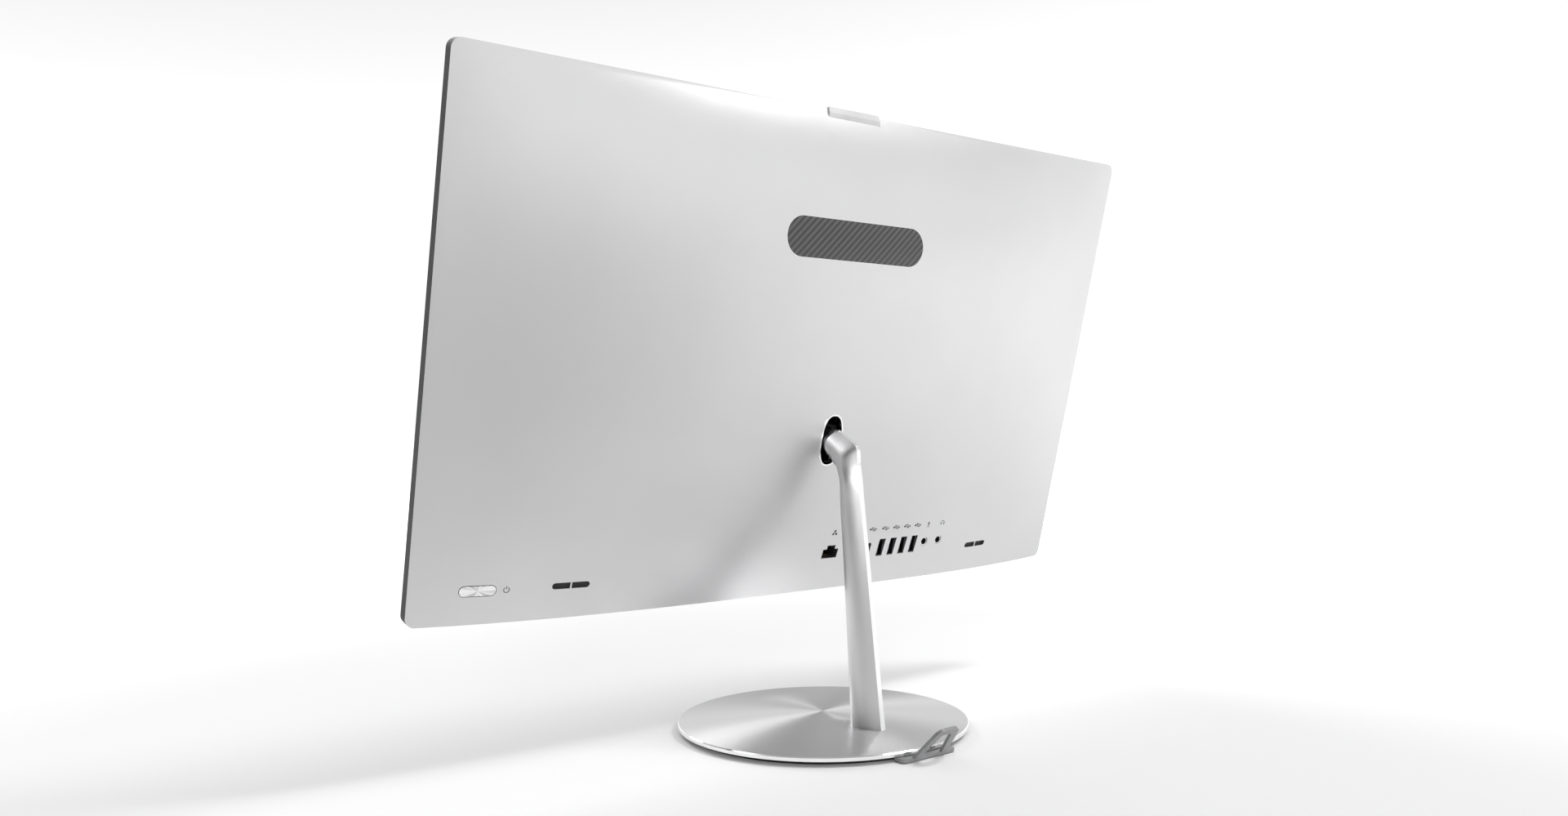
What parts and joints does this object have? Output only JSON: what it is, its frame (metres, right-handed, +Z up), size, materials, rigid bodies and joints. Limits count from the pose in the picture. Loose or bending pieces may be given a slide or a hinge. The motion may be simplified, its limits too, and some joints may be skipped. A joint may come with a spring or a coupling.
{
  "type": "all in one pc",
  "caption": "Slim all in one PC: bulged metal display body on a bent neck and round disc stand, with tilt hinge, pop-up camera and rear ports.",
  "frame": {"origin": "on the desk, under the centre of the base disc", "axes": "+Z up, screen faces -Y, ports face +Y, power button on the +X side"},
  "size_m": [0.541, 0.2151, 0.4038],
  "materials": {
    "spun_aluminium": "concentric spun brush lines",
    "anodised_aluminium": "fine bead-blasted anodising",
    "dark_steel": "blackened",
    "steel": "zinc plated",
    "foot_rubber": "matt",
    "grey_metal": "satin",
    "frame_plastic": "fine texture",
    "chin_plastic": "metallic satin",
    "screen_glass": "glossy dark panel",
    "tray_aluminium": "bare sheet",
    "drive_aluminium": "cast",
    "brass": "turned",
    "board": "solder mask",
    "copper": "flattened tube",
    "black_plastic": "moulded",
    "polished_ring": "polished",
    "socket_steel": "stamped sheet",
    "badge_black": "fine diagonal hatch",
    "camera_plastic": "painted silver",
    "camera_glass": "dark window"
  },
  "bodies": {
    "stand": {"base_disc": "spun_aluminium", "base_weight": "dark_steel", "foot_ring": "foot_rubber", "centre_pad": "foot_rubber", "neck": "anodised_aluminium", "neck_screws": "steel", "cable_clip": "grey_metal", "clip_screws": "steel", "hinge_tongue": "dark_steel", "tongue_pin": "steel", "hinge_shaft": "steel", "hinge_washers": "steel", "hinge_nuts": "steel"},
    "display": {"rear_cover": "anodised_aluminium", "front_frame": "frame_plastic", "chin_trim": "chin_plastic", "screen_panel": "screen_glass", "backlight_tray": "tray_aluminium", "chassis_plate": "steel", "chassis_screws": "steel", "standoffs": "brass", "motherboard": "board", "board_screws": "steel", "heatsink": "tray_aluminium", "heat_pipe": "copper", "cooling_fins": "tray_aluminium", "fan_housing": "black_plastic", "memory_module": "board", "wifi_card": "board", "solid_state_drive": "board", "hard_drive": "drive_aluminium", "speaker_left": "black_plastic", "speaker_right": "black_plastic", "slot_ring": "polished_ring", "hinge_brackets": "steel", "bracket_screws": "steel", "lan_socket": "black_plastic", "dc_jack": "black_plastic", "hdmi_socket": "socket_steel", "usb_c_socket": "socket_steel", "usb_a_shells": "socket_steel", "usb_a_tongues": "black_plastic", "mic_jack": "polished_ring", "headphone_jack": "polished_ring", "side_slot_liners": "black_plastic", "badge": "badge_black", "bottom_grille": "black_plastic", "power_switch": "black_plastic", "camera_guide": "black_plastic"},
    "power_button": {"power_button": "spun_aluminium"},
    "fan": {"fan_rotor": "black_plastic"},
    "camera": {"camera_sled": "camera_plastic", "camera_window": "camera_glass", "camera_lens": "camera_glass"}
  },
  "joints": [
    {"name": "display_tilt", "type": "hinge", "parent": "stand", "child": "display", "pos_m": [0, 0.0041, 0.1955], "axis": [-1, 0, 0], "range_deg": [-18, 10.5]},
    {"name": "button_press", "type": "slide", "parent": "display", "child": "power_button", "axis": [0, -0.9681, 0.2504], "range_m": [0, 0.0008], "stiffness_N_per_m": 500, "springref_m": -0.0002},
    {"name": "fan_spin", "type": "hinge", "parent": "display", "child": "fan", "pos_m": [-0.112, 0.01079, 0.24955], "axis": [0, 0.9681, -0.2504], "continuous": true},
    {"name": "camera_lift", "type": "slide", "parent": "display", "child": "camera", "axis": [0, 0.2504, 0.9681], "range_m": [0, 0.018]}
  ]
}
